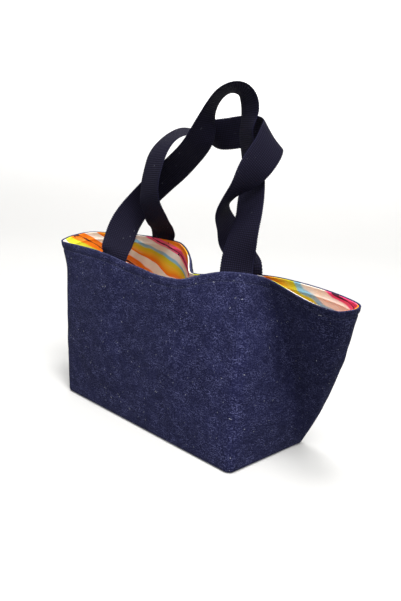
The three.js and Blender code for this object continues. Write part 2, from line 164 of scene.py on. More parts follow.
# Folds of the cloth: the depth of each kind, and the cell size and the seed of its noise
FOLD_DEPTH, FOLD_GRAIN, FOLD_STRETCH = 0.0018, (0.055, 3.1), 0.7
CRINKLE_DEPTH, CRINKLE_GRAIN = 0.0007, (0.021, 8.4)
FOLD_START, HEM_FOLD_SHARE = (0.004, 0.05), 0.35
PUCKER_DEPTH, PUCKER_GRAIN, PUCKER_PITCH, PUCKER_WIDTH = 0.00018, (0.03, 5.7), 0.0087, 0.006
PUCKER_SWAY = 3
SLACK_DEPTH, SLACK_GRAIN, SLACK_STRETCH, SLACK_BIAS = 0.0022, (0.04, 17.3), 0.5, 0.25
SLACK_BELOW_RIM, SLACK_ABOVE_FLOOR = (0.008, 0.04), (0.004, 0.03)
DIMPLE_DEPTH, DIMPLE_GRAIN, DIMPLE_START = 0.0004, (0.035, 2.6), (0.002, 0.02)
STITCH_GROOVE, SEAM_GROOVE, GROOVE_WIDTH = 0.0007, 0.00022, 0.0012
SEAM_HOLD = 0.03

# Rubbed edges: the width and the strength of the wear along each of them, and of the painted
# highlight on the puckers just above the topstitching, with how far that band stands above the
# stitch line
RIM_WEAR, BASE_WEAR, SEAM_WEAR = (0.0014, 1), (0.0016, 0.8), (GROOVE_WIDTH, 0.1)
# Painted highlight: a pale band just above the topstitch line, where the puckers catch the light
STITCH_HIGHLIGHT, STITCH_HIGHLIGHT_RISE = (0.0008, 0.3), 0.0016
STRAP_WEAR = (0.0014, 1)

# The handles: how they stand up from the rim, and the ribs and rounded edges of the webbing
STRAP_STAND = 0.007
STRAP_LEAN = np.array((0.5, 0.5, 1))
SEAT_MASK = (0.019, 0.026)
BOW_REACH = 0.016
ROUTE_SOFTNESS, EDGE_SOFTNESS = 9, 14
RIB_HEIGHT, RIB_FRILL = 0.00009, 0.00032
ROUND_POWER, FRILL_POWER, RIB_POWER = 10, 12, 6  # of the share across the webbing

# Mesh fineness
SHARE_STEPS = 2000
RIM_STEPS, ROUTE_STEPS = 24, 40
RING_STEPS, RING_WRAP = 1600, 200
SIDE_COLUMNS = 230
MIDDLE_ROWS = 66
EDGE_STEPS = (0, 0.0001, 0.00025, 0.00045, 0.0007, 0.001, 0.0015, 0.0022, 0.003)
HEM_STEPS = (0.004, 0.005, 0.006, 0.007, 0.0078, 0.0085, 0.0091, 0.0097, 0.0103, 0.0109, 0.0115,
             0.0122, 0.013, 0.014)
BASE_EDGE_STEPS, BASE_EDGE_REACH = (0, 0.00015, 0.0004, 0.0008), 0.06
BASE_RINGS = np.linspace(0.03, 0.95, 24)
MERGE_DISTANCE, SLIVER_LENGTH = 2e-6, 1e-6
STRAP_POINTS, TAIL_STEP = 27, 0.0011

# The topstitches: columns of points along the rim and how many are left free at each seam, the
# depth of the thread in the cloth, and half a stitch as a share of the pitch
STITCH_COLUMNS, STITCH_MARGIN = 400, 3
THREAD_DEPTH = 0.00005
STITCH_HALF_SHARE = 0.42


def metres(name, description, value):
    return bpy.props.FloatProperty(
        name=name, description=description, default=value, unit="LENGTH")


class ToteSizes(bpy.types.PropertyGroup):
    """Sizes of the bag that a maker would change."""

    base_length: metres("Base Length", "Length of the flat base", 0.300)
    base_depth: metres("Base Depth", "Front to back size of the base", 0.129)
    corner_radius: metres("Corner Radius", "Rounding of the base corners", 0.008)
    bag_height: metres("Bag Height", "Height of the wall without its sag", 0.195)
    mouth_overhang: metres(
        "Mouth Overhang", "How far each end of the mouth stands out past the base", 0.078)
    denim: metres("Denim", "Thickness of the denim", 0.001)
    interlining: metres("Interlining", "Thickness of the stiffening layer", 0.0012)
    lining: metres("Lining", "Thickness of the printed lining", 0.0006)
    board: metres("Base Board", "Thickness of the stiff base sheet", 0.002)
    strap_width: metres("Strap Width", "Width of the webbing", 0.038)
    strap_thickness: metres("Strap Thickness", "Thickness of the webbing", 0.0016)
    strap_spacing: metres("Strap Spacing", "Distance between the two feet of a handle", 0.168)
    strap_tail: metres("Strap Tail", "Length of webbing sewn into the rim", 0.030)
    rib_pitch: metres("Rib Pitch", "Distance between the ribs of the webbing", 0.0024)
    stitch_drop: metres("Stitch Drop", "Distance of the topstitching below the rim", 0.0103)
    stitch_pitch: metres("Stitch Pitch", "Length of one topstitch with its gap", 0.0033)
    thread: metres("Thread", "Diameter of the sewing thread", 0.0006)


def colour(name, description, value):
    return bpy.props.FloatVectorProperty(
        name=name, description=description, default=value, size=3, min=0, max=1, subtype="COLOR")


class ToteColours(bpy.types.PropertyGroup):
    """Colours of the bag's cloths."""

    denim: colour("Denim", "Indigo of the denim", (0.0042, 0.0046, 0.0180))
    denim_pale: colour("Pale Denim", "Weft and slubs in the indigo", (0.0200, 0.0221, 0.0795))
    # The worn colour is also the colour of the painted highlight above the topstitching
    denim_worn_and_highlight: colour("Worn Denim", "Rubbed folds and edges", (0.080, 0.085, 0.186))
    lint: colour("Lint", "Loose white fibres", (0.55, 0.57, 0.62))
    webbing: colour("Webbing", "Navy of the handles", (0.0016, 0.0014, 0.0026))
    webbing_pale: colour("Pale Webbing", "Raised threads of the webbing", (0.0190, 0.0172, 0.0410))
    thread: colour("Thread", "Navy sewing thread", (0.028, 0.031, 0.072))
    orange: colour("Orange", "Main colour of the print", (0.95, 0.225, 0.010))
    gold: colour("Gold", "Paler stripes of the print", (0.95, 0.54, 0.03))
    lime: colour("Lime", "Yellow green of the print", (0.66, 0.68, 0.03))
    cream: colour("Cream", "Ground of the print", (0.97, 0.92, 0.83))
    pink: colour("Pink", "Pink of the print", (0.92, 0.07, 0.24))
    sky: colour("Sky", "Pale blue of the print", (0.26, 0.60, 0.84))
    ink: colour("Ink", "Dark pinstripes of the print", (0.012, 0.012, 0.020))
    interlining: colour("Interlining", "Undyed stiffening cloth", (0.72, 0.70, 0.64))
    board: colour("Board", "Grey base sheet", (0.27, 0.26, 0.24))
    floor: colour("Floor", "Pale studio floor", (0.495, 0.491, 0.481))


def smooth_line(points, per_span):
    """A centripetal curve through points, with per_span steps between neighbours."""
    points = np.asarray(points, float)
    ends = np.vstack([2 * points[0] - points[1], points, 2 * points[-1] - points[-2]])
    step = np.linspace(0, 1, per_span, endpoint=False)[:, None]
    pieces = []
    for i in range(len(points) - 1):
        before, here, there, after = ends[i:i + 4]
        first = np.sum((here - before) ** 2) ** 0.25
        second = np.sum((there - here) ** 2) ** 0.25 or 1
        first = first or second
        third = np.sum((after - there) ** 2) ** 0.25 or second
        between = (there - here) / second
        start = (here - before) / first - (there - before) / (first + second) + between
        end = between - (after - here) / (second + third) + (after - there) / third
        cube, square = step ** 3, step ** 2
        pieces.append(
            (2 * cube - 3 * square + 1) * here + (cube - 2 * square + step) * start * second
            + (3 * square - 2 * cube) * there + (cube - square) * end * second)
    pieces.append(points[-1:])
    return np.vstack(pieces)


def unit(rows):
    return rows / np.linalg.norm(rows, axis=-1)[..., None]


def read_rows(where, marks, rows):
    """Rows of numbers, read between the marks at which they stand."""
    return np.stack([np.interp(where, marks, axis) for axis in rows.T], -1)


class Line:
    """A line of points that is read by the share of its length."""

    def __init__(self, points):
        self.points = np.asarray(points, float)
        steps = np.linalg.norm(np.diff(self.points, axis=0), axis=1)
        self.marks = np.concatenate([[0], np.cumsum(steps)])
        self.length = self.marks[-1]

    def at(self, share):
        return read_rows(np.asarray(share) * self.length, self.marks, self.points)


def soften(values, reach):
    """Evens out a row of points over a number of neighbours, with both ends held."""
    span = int(3 * reach)
    weights = np.exp(-0.5 * (np.arange(-span, span + 1) / reach) ** 2)
    weights /= weights.sum()
    head = 2 * values[0] - values[span:0:-1]
    tail = 2 * values[-1] - values[-2:-span - 2:-1]
    padded = np.vstack([head, values, tail])
    return np.stack([np.convolve(axis, weights, "valid") for axis in padded.T], -1)


def bump(distance, width, height=1):
    return height * np.exp(-(distance / width) ** 2)


def ramp(value, low, high):
    share = np.clip((value - low) / (high - low), 0, 1)
    return share * share * (3 - 2 * share)


def cloud(along, height, scale, seed):
    """Smooth noise from -1 to 1 over the wall, the same at each run."""
    pairs = zip(along.ravel(), height.ravel())
    values = [noise.noise(Vector((a / scale, h / scale, seed))) for a, h in pairs]
    return np.array(values).reshape(along.shape)


class Bag:
    """The bag's outer face, as a place round the wall and a height above the floor."""

    def __init__(self, sizes):
        self.sizes = sizes
        half = sizes.base_length / 2 + sizes.mouth_overhang
        scale = np.array((half, 1, 1))
        lift = np.array((0, 0, sizes.bag_height))
        rims = [np.array(rows) * scale + lift for rows in (FRONT_RIM, BACK_RIM)]
        self.rims = [Line(smooth_line(points, RIM_STEPS)) for points in rims]
        self.shares = np.linspace(0, 1, SHARE_STEPS + 1)
        self.make_base_outline()
        self.runs = [
            0.5 * (rim.length * self.shares + self.base_round * (feet - feet[0]))
            for rim, feet in zip(self.rims, self.feet)
        ]
        self.whole_run = self.runs[FRONT][-1] + self.runs[BACK][-1]

    def make_base_outline(self):
        sizes = self.sizes
        x, y, radius = sizes.base_length / 2, sizes.base_depth / 2, sizes.corner_radius
        points = [(-x, 0)]
        for centre_x, start in ((radius - x, 180), (x - radius, 270)):
            for degrees in range(start, start + 91, 10):
                turn = math.radians(degrees)
                across, down = radius * math.cos(turn), radius * math.sin(turn)
                points.append((centre_x + across, radius - y + down))
        points.append((x, 0))
        half = np.array(points)
        ring = Line(np.vstack([half, -half[1:]]))
        self.base_round = ring.length
        cut = radius * (2 - math.pi / 2)
        end = (sizes.base_depth - cut) / ring.length
        side = (sizes.base_length - cut) / ring.length
        front_left, back_right = end / 2, end / 2 + side + end
        wing_start = 1 - WING_SHARE
        front = np.interp(
            self.shares, (0, LEFT_END_SHARE, wing_start - RIGHT_END_SHARE, wing_start, 1),
            (0, front_left, front_left + side, back_right - WING_FOOT / ring.length, back_right))
        back = np.interp(
            self.shares, (0, 1 - LEFT_END_SHARE, 1), (back_right, back_right + side, 1))
        reach = FOLD_SOFTNESS * len(self.shares)
        self.feet = [soften(feet[:, None], reach)[:, 0] for feet in (front, back)]
        self.ring_shares = np.linspace(0, 1, RING_STEPS + 1)
        self.ring = ring.at(self.ring_shares)
        along = np.roll(self.ring[:-1], -1, 0) - np.roll(self.ring[:-1], 1, 0)
        normal = unit(np.stack([along[:, 1], -along[:, 0]], -1))
        wrapped = np.vstack([normal[-RING_WRAP:], normal, normal[:RING_WRAP]])
        reach = CORNER_SOFTNESS / (ring.length / RING_STEPS)
        normal = unit(soften(wrapped, reach)[RING_WRAP:-RING_WRAP])
        self.ring_normal = np.vstack([normal, normal[:1]])

    def split(self, place):
        place = np.mod(np.asarray(place, float), 2)
        return place >= 1, np.mod(place, 1)

    def pick(self, place, read):
        back, share = self.split(place)
        front_value, back_value = read(FRONT, share), read(BACK, share)
        chosen = back if front_value.ndim == back.ndim else back[..., None]
        return np.where(chosen, back_value, front_value)

    def rim(self, place):
        return self.pick(place, lambda side, share: self.rims[side].at(share))

    def along(self, place):
        """Distance round the wall, half way between base and rim."""
        start = {FRONT: 0, BACK: self.runs[FRONT][-1]}

        def read(side, share):
            return start[side] + np.interp(share, self.shares, self.runs[side])
        return self.pick(place, read)

    def columns(self, side, count):
        runs = self.runs[side]
        return side + np.interp(np.linspace(0, runs[-1], count + 1), runs, self.shares)

    def seat(self, side, x):
        """Place where a handle is sewn in at a distance along the bag."""
        line = self.rims[side].at(self.shares)[:, 0]
        turn = 1 if side == FRONT else -1
        return side + float(np.interp(x * turn, line * turn, self.shares))

    def outer(self, place, height):
        """The outer face without its folds. height has one row for each level."""
        def read(side, share):
            return np.interp(share, self.shares, self.feet[side])
        foot = self.pick(place, read)
        base = read_rows(foot, self.ring_shares, self.ring)
        normal = read_rows(foot, self.ring_shares, self.ring_normal)
        rim = self.rim(place)
        end = np.where(normal[:, 0] > 0, RIGHT_END_BELLY, LEFT_END_BELLY)
        belly = np.abs(normal[:, 1]) * SIDE_BELLY + np.abs(normal[:, 0]) * end
        rise = height / rim[:, 2]
        swell = belly * (1 - (2 * rise - 1) ** 2)
        ground = base * (1 - rise)[..., None] + rim[:, :2] * rise[..., None]
        out = swell - edge_round(height, BASE_TUCK)
        return np.concatenate([ground + normal * out[..., None], height[..., None]], -1)

    def inward(self, place, height):
        step = 0.002
        slope = self.outer(place + step, height) - self.outer(place - step, height)
        return unit(np.stack([-slope[..., 1], slope[..., 0], np.zeros(height.shape)], -1))

    def folds(self, place, height):
        """How far the cloth stands out from the plain face, in soft folds and puckers."""
        along = np.broadcast_to(self.along(place), height.shape)
        drop = self.rim(place)[:, 2] - height
        from_stitch = drop - self.sizes.stitch_drop
        below_hem = HEM_FOLD_SHARE + (1 - HEM_FOLD_SHARE) * ramp(drop, *FOLD_START)
        free = ramp(height, *FOLD_START) * below_hem * self.left_hold(place)
        soft = FOLD_DEPTH * cloud(along, height * FOLD_STRETCH, *FOLD_GRAIN)
        soft = soft + CRINKLE_DEPTH * cloud(along, height, *CRINKLE_GRAIN)
        sway = PUCKER_SWAY * cloud(along, height, *PUCKER_GRAIN)
        wave = np.sin(along * FULL_TURN / PUCKER_PITCH + sway)
        pucker = PUCKER_DEPTH * wave * bump(from_stitch, PUCKER_WIDTH) * self.left_hold(place)
        groove = bump(from_stitch, GROOVE_WIDTH, -STITCH_GROOVE)
        hem = bump(drop - HEM_RIDGE_DROP, HEM_RIDGE_WIDTH, HEM_RIDGE)
        seam = bump(self.seam_distance(place), GROOVE_WIDTH, -SEAM_GROOVE)
        return soft * free + pucker + groove + hem + seam

    def left_distance(self, place):
        """Distance from the left side seam."""
        along = self.along(place)
        return np.minimum(along, self.whole_run - along)

    def seam_distance(self, place):
        """Distance from the nearer side seam."""
        right = np.abs(self.along(place) - self.runs[FRONT][-1])
        return np.minimum(self.left_distance(place), right)

    def left_hold(self, place):
        """Nothing at the left side seam, where both walls are held, and one away from it."""
        return ramp(self.left_distance(place), 0, SEAM_HOLD)

    def wall(self, place, height, depth):
        """A point at a depth inside the wall, folds included."""
        inward = self.inward(place, height)
        return self.outer(place, height) + inward * (depth - self.folds(place, height))[..., None]

    def seat_mask(self, place):
        """One where a handle is sewn in and nothing elsewhere."""
        along = self.along(place)
        mask = np.zeros(along.shape)
        for side in (FRONT, BACK):
            for x in (-self.sizes.strap_spacing / 2, self.sizes.strap_spacing / 2):
                middle = float(self.along(np.array([self.seat(side, x)]))[0])
                mask += 1 - ramp(np.abs(along - middle), *SEAT_MASK)
        return mask

    @property
    def lining_depth(self):
        """Depth of the lining's inner face below the denim's outer face."""
        sizes = self.sizes
        return sizes.denim + sizes.strap_thickness + sizes.lining + 2 * LAYER_GAP

    @property
    def strap_depth(self):
        return self.sizes.denim + LAYER_GAP + self.sizes.strap_thickness / 2


def levels(tops, floor, drop):
    """Heights of a layer's rows above each column, close together at its two edges."""
    highest = tops - drop
    low = floor + np.array(EDGE_STEPS)
    upper = np.array(EDGE_STEPS + HEM_STEPS)[::-1]
    middle = np.linspace(0, 1, MIDDLE_ROWS + 1)[1:-1, None]
    start, end = low[-1], highest - upper[0]
    lowest = np.repeat(low[:, None], len(tops), 1)
    return np.vstack([lowest, start + (end - start) * middle, highest - upper[:, None]])


def edge_round(distance, half):
    """How far a rounded edge is drawn in at a distance from its tip."""
    left = half - np.minimum(distance, half)
    return half - np.sqrt(np.maximum(half ** 2 - left ** 2, 0))


def mesh_of(name, points, faces=(), edges=()):
    mesh = bpy.data.meshes.new(name)
    mesh.from_pydata(np.asarray(points).tolist(), edges, faces)
    return mesh


def placed(name, data):
    """A new object at the origin of the scene."""
    made = bpy.data.objects.new(name, data)
    bpy.context.scene.collection.objects.link(made)
    return made


def shell(name, outer, inner, flat, wear_and_highlight=None):
    """A closed sheet of cloth between two faces of columns by rows, which share their first and
    last row. flat is the place of each point on the flat cloth, for the weave."""
    columns, rows = outer.shape[:2]
    back = inner[:, -2:0:-1]
    around = rows + back.shape[1]
    points = np.concatenate([outer, back], 1).reshape(-1, 3)
    flat_points = np.concatenate([flat, flat[:, -2:0:-1]], 1).reshape(-1, 2)
    first = np.arange(columns - 1)[:, None] * around
    here = np.arange(around)[None, :]
    there = (here + 1) % around
    after = first + around
    quads = np.stack([first + here, after + here, after + there, first + there], -1)
    faces = quads.reshape(-1, 4).tolist()
    for start, turn in ((0, 1), ((columns - 1) * around, -1)):
        for row in range(rows - 1):
            inner_here, inner_next = (around - row) % around, around - row - 1
            ring = dict.fromkeys([row, row + 1, inner_next, inner_here])
            faces.append([start + i for i in ring][::turn])
    mesh = mesh_of(name, points, faces)
    corners = np.zeros(len(mesh.loops), np.int32)
    mesh.loops.foreach_get("vertex_index", corners)
    layer = mesh.uv_layers.new(name="Cloth")
    layer.data.foreach_set("uv", flat_points[corners].astype(np.float32).ravel())
    if wear_and_highlight is not None:
        spread = np.concatenate([wear_and_highlight, wear_and_highlight[:, -2:0:-1]], 1).ravel().astype(np.float32)
        mesh.attributes.new("wear_and_highlight", "FLOAT", "POINT").data.foreach_set("value", spread)
    return outward(mesh)


def outward(mesh):
    """Turns a closed mesh so that its faces point outwards."""
    work = bmesh.new()
    work.from_mesh(mesh)
    if work.calc_volume(signed=True) < 0:
        bmesh.ops.reverse_faces(work, faces=work.faces)
    for face in work.faces:
        face.smooth = True
    work.to_mesh(mesh)
    work.free()
    return mesh


def piece(name, mesh, material):
    made = placed(name, mesh)
    mesh.materials.clear()
    mesh.materials.append(material)
    return made


class Layer:
    """One cloth of a wall: its columns and rows, and how far each point is from its two edges."""

    def __init__(self, bag, side, floor, rim_drop):
        self.bag = bag
        self.place = bag.columns(side, SIDE_COLUMNS)
        seam = LAYER_GAP / 2 / bag.rims[side].length
        self.place[0] += seam
        self.place[-1] -= seam
        tops = bag.rim(self.place)[:, 2]
        self.height = levels(tops, floor, rim_drop)
        self.drop = tops - rim_drop - self.height
        self.rise = self.height - floor
        self.along = np.broadcast_to(bag.along(self.place), self.height.shape)

    def hem(self):
        """Thickness that the turned hem adds, apart from where a handle is sewn in."""
        hem = 1 - ramp(self.drop, HEM_DEPTH - HEM_STEP, HEM_DEPTH)
        return HEM_THICKENING * hem * (1 - self.bag.seat_mask(self.place))

    def mesh(self, name, depth, thick, wear_and_highlight=None):
        """The closed cloth, with its outer face at a depth below the denim's."""
        draw = edge_round(self.drop, thick / 2) + edge_round(self.rise, thick / 2)
        faces = [
            self.bag.wall(self.place, self.height, at)
            for at in (depth + draw, depth + thick - draw)
        ]
        grids = [*faces, np.stack([self.along, self.height], -1)]
        if wear_and_highlight is not None:
            grids.append(wear_and_highlight)
        return shell(name, *[np.swapaxes(grid, 0, 1) for grid in grids])


def denim_panel(bag, side, name):
    layer = Layer(bag, side, 0, 0)
    seam = bag.seam_distance(layer.place)
    # The wear mask also holds a painted highlight: a pale band just above the topstitching,
    # besides the rubbed rim, base and seams
    above_stitch = layer.drop - bag.sizes.stitch_drop + STITCH_HIGHLIGHT_RISE
    wear_and_highlight = bump(layer.drop, *RIM_WEAR) + bump(layer.rise, *BASE_WEAR)
    wear_and_highlight = wear_and_highlight + bump(seam, *SEAM_WEAR) + bump(above_stitch, *STITCH_HIGHLIGHT)
    return layer.mesh(name, 0, bag.sizes.denim + layer.hem(), np.clip(wear_and_highlight, 0, 1))


def lining_panel(bag, side, name):
    sizes = bag.sizes
    layer = Layer(bag, side, sizes.denim + sizes.board + 2 * LAYER_GAP, LINING_RIM_DROP)
    thick = sizes.lining + layer.hem()
    loose = ramp(layer.drop, *SLACK_BELOW_RIM) * ramp(layer.rise, *SLACK_ABOVE_FLOOR)
    loose = loose * bag.left_hold(layer.place)
    waves = cloud(layer.along, layer.height * SLACK_STRETCH, *SLACK_GRAIN)
    slack = SLACK_DEPTH * loose * np.maximum(waves + SLACK_BIAS, 0)
    return layer.mesh(name, bag.lining_depth + slack - thick, thick)


def interlining_panel(bag, side, name):
    start = bag.sizes.denim + LAYER_GAP
    layer = Layer(bag, side, start, INTERLINING_DROP)
    return layer.mesh(name, start, bag.sizes.interlining)


def base_sheet(bag, name, inset, floor, thick, dimple=0):
    """A layer that lies flat on the base, as rings drawn in from its rounded edge to a middle
    line."""
    place = np.concatenate([bag.columns(side, SIDE_COLUMNS)[:-1] for side in (FRONT, BACK)])
    level = np.full((1, len(place)), floor + thick / 2)
    rim = (bag.outer(place, level) + bag.inward(place, level) * inset)[0, :, :2]
    spine_reach = (bag.sizes.base_length - bag.sizes.base_depth) / 2
    spine = np.stack([np.clip(rim[:, 0], -spine_reach, spine_reach), np.zeros(len(rim))], -1)
    length = np.linalg.norm(rim - spine, axis=1)[:, None]
    edge = np.array(BASE_EDGE_STEPS) / BASE_EDGE_REACH
    shares = np.concatenate([edge, BASE_RINGS])
    ground = rim[:, None] + (spine - rim)[:, None] * shares[None, :, None]
    inside = length * shares[None]
    half = edge_round(inside, thick / 2)
    sink = dimple * cloud(ground[..., 0], ground[..., 1], *DIMPLE_GRAIN)
    sink = sink * ramp(inside, *DIMPLE_START)
    middle = floor + thick / 2 + sink
    lift = thick / 2 - half
    points = [np.concatenate([ground, at[..., None]], -1) for at in (middle + lift, middle - lift)]
    points = np.concatenate(points).reshape(-1, 3)
    count, rings = ground.shape[:2]
    under = count * rings
    faces = []
    for k in range(count):
        after = (k + 1) % count
        for ring in range(rings - 1):
            a, b = k * rings + ring, after * rings + ring
            faces.append((a, b, b + 1, a + 1))
            faces.append((under + a, under + a + 1, under + b + 1, under + b))
    inmost = [k * rings + rings - 1 for k in range(count)]
    faces.append(inmost)
    faces.append([under + i for i in reversed(inmost)])
    mesh = mesh_of(name, points, faces)
    work = bmesh.new()
    work.from_mesh(mesh)
    bmesh.ops.remove_doubles(work, verts=work.verts, dist=MERGE_DISTANCE)
    bmesh.ops.dissolve_degenerate(work, edges=work.edges, dist=SLIVER_LENGTH)
    flat = work.loops.layers.uv.new("Cloth")
    for face in work.faces:
        for corner in face.loops:
            corner[flat].uv = corner.vert.co.xy
    work.to_mesh(mesh)
    work.free()
    return outward(mesh)


class Seat:
    """Where a handle is sewn in: its foot on the rim, the top of its stand and its edge's way."""

    def __init__(self, bag, side, x, outward_way):
        turn = 1 if side == FRONT else -1
        self.bag = bag
        self.place = bag.seat(side, x)
        self.rim_length = bag.rims[side].length
        self.way = outward_way * turn
        here = np.array([self.place])
        top = bag.rim(here)[:, 2]
        depth = np.array([[bag.strap_depth]])
        rim, low = [
            bag.wall(here, top[None] - drop, depth)[0, 0] for drop in (0, STRAP_STAND)]
        step = 0.001
        self.edge = unit((bag.rim(here + step) - bag.rim(here - step))[0] * self.way)
        lean = (rim - low) * STRAP_LEAN
        lean = lean - self.edge * (lean @ self.edge)
        self.foot = rim
        self.stand = rim + unit(lean) * STRAP_STAND

    def row(self, across, drop):
        """Points across the webbing inside the wall, at a drop below the rim."""
        place = self.place + across / self.rim_length * self.way
        top = self.bag.rim(place)[:, 2]
        height = (top - drop)[None]
        return self.bag.wall(place, height, np.full(height.shape, self.bag.strap_depth))[0]

    def bow(self, across):
        """How the rim's curve departs from a straight line across the webbing."""
        return self.row(across, 0) - (self.foot + across[:, None] * self.edge)


def strap_surface(bag, side, route):
    """The webbing's middle surface as stations by points across, its distances along and across,
    and its free length."""
    sizes = bag.sizes
    half = sizes.strap_width / 2
    left = Seat(bag, side, -sizes.strap_spacing / 2, -1)
    right = Seat(bag, side, sizes.strap_spacing / 2, 1)
    lift = np.array((0, 0, sizes.bag_height))
    middles = [np.array(at) + lift for at, _ in route]
    ways = [np.array(edge) for _, edge in route]
    points = [left.foot, left.stand, *middles, right.stand, right.foot]
    edges = [left.edge, left.edge, *ways, right.edge, right.edge]
    line = Line(smooth_line(points, ROUTE_STEPS))
    count = int(round(line.length / (sizes.rib_pitch / 4)))
    share = np.linspace(0, 1, count + 1)
    where = share * line.length
    edge = soften(read_rows(where, line.marks, smooth_line(edges, ROUTE_STEPS)), EDGE_SOFTNESS)
    centre = soften(line.at(share), ROUTE_SOFTNESS)
    along = unit(np.gradient(centre, axis=0))
    edge = unit(edge - along * np.sum(edge * along, 1)[:, None])
    even = np.linspace(-1, 1, STRAP_POINTS)
    across = (np.sin(even * math.pi / 2) * 0.5 + even * 0.5) * half
    free = centre[:, None] + edge[:, None] * across[None, :, None]
    free += bump(where, BOW_REACH)[:, None, None] * left.bow(across)[None]
    free += bump(line.length - where, BOW_REACH)[:, None, None] * right.bow(across)[None]
    drops = np.arange(sizes.strap_tail, 0, -TAIL_STEP)
    left_tail = np.stack([left.row(across, drop) for drop in drops])
    right_tail = np.stack([right.row(across, drop) for drop in drops[::-1]])
    surface = np.concatenate([left_tail, free, right_tail])
    distance = np.concatenate([-drops, where, line.length + drops[::-1]])
    return surface, distance, across, line.length


def strap_mesh(bag, name, side, route):
    sizes = bag.sizes
    surface, distance, across, length = strap_surface(bag, side, route)
    edge_way = np.gradient(surface, axis=1)
    normal = unit(np.cross(np.gradient(surface, axis=0), edge_way))
    share = np.abs(across) / (sizes.strap_width / 2)
    body = np.sqrt(np.maximum(1 - share ** ROUND_POWER, 0))
    outside = ((distance > 0) & (distance < length)).astype(float)
    ribs = (np.sin(distance * FULL_TURN / sizes.rib_pitch) * outside)[:, None]
    frill = RIB_FRILL * ribs * (np.sign(across) * share ** FRILL_POWER)[None]
    surface = surface + unit(edge_way) * frill[..., None]
    swell = RIB_HEIGHT * ribs * (1 - share ** RIB_POWER)[None]
    half = (sizes.strap_thickness / 2 + swell) * body[None]
    half[:, [0, -1]] = 0
    flat = np.stack(np.broadcast_arrays(across[None], distance[:, None]), -1)
    wear_and_highlight = bump((1 - share) * sizes.strap_width / 2, *STRAP_WEAR)
    wear_and_highlight = np.broadcast_to(wear_and_highlight[None], half.shape)
    out = normal * half[..., None]
    return shell(name, surface + out, surface - out, flat, wear_and_highlight), length


class Nodes:
    """Short ways to add nodes to a tree. Values are numbers, colours or sockets."""

    def __init__(self, tree):
        self.tree = tree

    def fill(self, node, values):
        """Sets or links a node's inputs."""
        for key, value in values.items():
            if isinstance(value, bpy.types.NodeSocket):
                self.tree.links.new(value, node.inputs[key])
            else:
                node.inputs[key].default_value = value
        return node

    def add(self, kind, values=None, **settings):
        made = self.tree.nodes.new(kind)
        for key, value in settings.items():
            setattr(made, key, value)
        return self.fill(made, values or {})

    def calc(self, operation, *values):
        values = dict(enumerate(values))
        return self.add("ShaderNodeMath", values, operation=operation).outputs[0]

    def plus(self, first, second):
        return self.calc("ADD", first, second)

    def minus(self, first, second):
        return self.calc("SUBTRACT", first, second)

    def times(self, first, second):
        return self.calc("MULTIPLY", first, second)

    def over(self, first, second):
        return self.calc("DIVIDE", first, second)

    def times_plus(self, first, second, rest):
        return self.calc("MULTIPLY_ADD", first, second, rest)

    def vector(self, operation, first, second):
        values = {0: first, 1: second}
        return self.add("ShaderNodeVectorMath", values, operation=operation).outputs[0]

    def parts(self, vector):
        return self.add("ShaderNodeSeparateXYZ", {0: vector}).outputs

    def mix(self, share, *shades):
        """A colour between two shades. The node's sockets share names, so they go by number."""
        first, second = [
            shade if isinstance(shade, bpy.types.NodeSocket) else (*shade, 1) for shade in shades]
        values = {0: share, 6: first, 7: second}
        made = self.add("ShaderNodeMix", values, data_type="RGBA", clamp_factor=True)
        return made.outputs[2]

    def cloud(self, vector, scale, detail=3, rough=0.55):
        values = {"Vector": vector, "Scale": scale, "Detail": detail, "Roughness": rough}
        return self.add("ShaderNodeTexNoise", values).outputs["Fac"]

    def between(self, value, low, high, to_low=0.0, to_high=1.0):
        """A value eased from one range into another."""
        values = {"Value": value, "From Min": low, "From Max": high,
                  "To Min": to_low, "To Max": to_high}
        return self.add(
            "ShaderNodeMapRange", values, interpolation_type="SMOOTHSTEP").outputs[0]


def fill_weave(nodes, given):
    """Raised threads, crossing one over one or running in slanted twill lines."""
    place = nodes.parts(given["Place"])
    loose = nodes.times(nodes.cloud(given["Place"], 260.0, 1), given["Looseness"])
    phases = [
        nodes.times(nodes.plus(nodes.over(place[axis], given[pitch]), loose), FULL_TURN)
        for axis, pitch in enumerate(("Across", "Along"))
    ]
    crossing = nodes.times(*[nodes.calc("SINE", phase) for phase in phases])
    slant = nodes.times(nodes.calc("SINE", nodes.plus(*phases)), given["Twill"])
    plain = nodes.times(crossing, nodes.minus(1.0, given["Twill"]))
    return nodes.times_plus(nodes.plus(plain, slant), 0.5, 0.5)


def fill_slub(nodes, given):
    """Threads of uneven thickness, in both ways of the cloth."""
    place, scale = given["Place"], given["Scale"]
    upright, level = [
        nodes.cloud(nodes.vector("MULTIPLY", place, factors), scale, 3, 0.7)
        for factors in ((1.0, 0.13, 1.0), (0.16, 1.0, 1.0))
    ]
    threads = nodes.plus(nodes.times(upright, 0.42), nodes.times(level, 0.28))
    grain = nodes.cloud(place, scale, 2, 0.8)
    return nodes.between(nodes.times_plus(grain, 0.3, threads), 0.34, 0.68)


